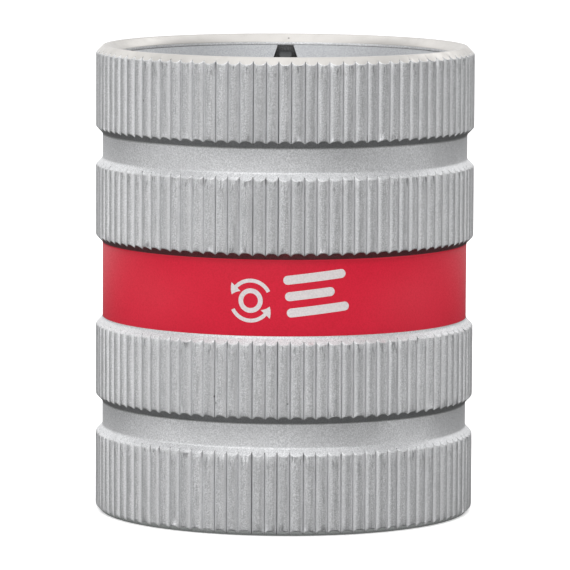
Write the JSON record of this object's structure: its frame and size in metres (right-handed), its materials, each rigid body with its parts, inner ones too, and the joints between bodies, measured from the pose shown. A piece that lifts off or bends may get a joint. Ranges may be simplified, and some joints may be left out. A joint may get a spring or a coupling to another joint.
{
  "type": "deburring tool",
  "caption": "Cylindrical inner and outer tube deburrer: a ribbed aluminium sleeve with a red band, a bladed funnel in one end and a bladed cone in the other.",
  "frame": {"origin": "centre of the lower rim's plane, on the tool's axis", "axes": "+Z along the tool's axis towards the funnel end, which is up; -Y is the front, with one crest of the ribs on it, and one funnel blade stands at the back, at +Y"},
  "size_m": [0.07, 0.07, 0.0863],
  "materials": {
    "sleeve_metal": "bead-blasted, clear anodised",
    "insert_metal": "cast and blasted",
    "label_film": "printed film",
    "tool_steel": "hardened, ground edges",
    "black_steel": "black oxide",
    "bright_steel": "bright"
  },
  "bodies": {
    "root": {"grip_sleeve": "sleeve_metal", "label_band": "label_film", "funnel_insert": "insert_metal", "cone_insert": "insert_metal", "clamp_screw_1": "black_steel", "clamp_screw_2": "black_steel", "clamp_screw_3": "black_steel", "clamp_washer_1": "bright_steel", "clamp_washer_2": "bright_steel", "clamp_washer_3": "bright_steel", "cone_blade_1": "tool_steel", "cone_blade_2": "tool_steel", "cone_blade_3": "tool_steel", "cone_blade_pin_1": "bright_steel", "cone_blade_pin_2": "bright_steel", "cone_blade_pin_3": "bright_steel", "drive_pin_1": "bright_steel", "drive_pin_2": "bright_steel", "drive_pin_3": "bright_steel", "funnel_blade_1": "tool_steel", "funnel_blade_2": "tool_steel", "funnel_blade_3": "tool_steel", "funnel_blade_pin_1": "bright_steel", "funnel_blade_pin_2": "bright_steel", "funnel_blade_pin_3": "bright_steel"}
  },
  "joints": []
}
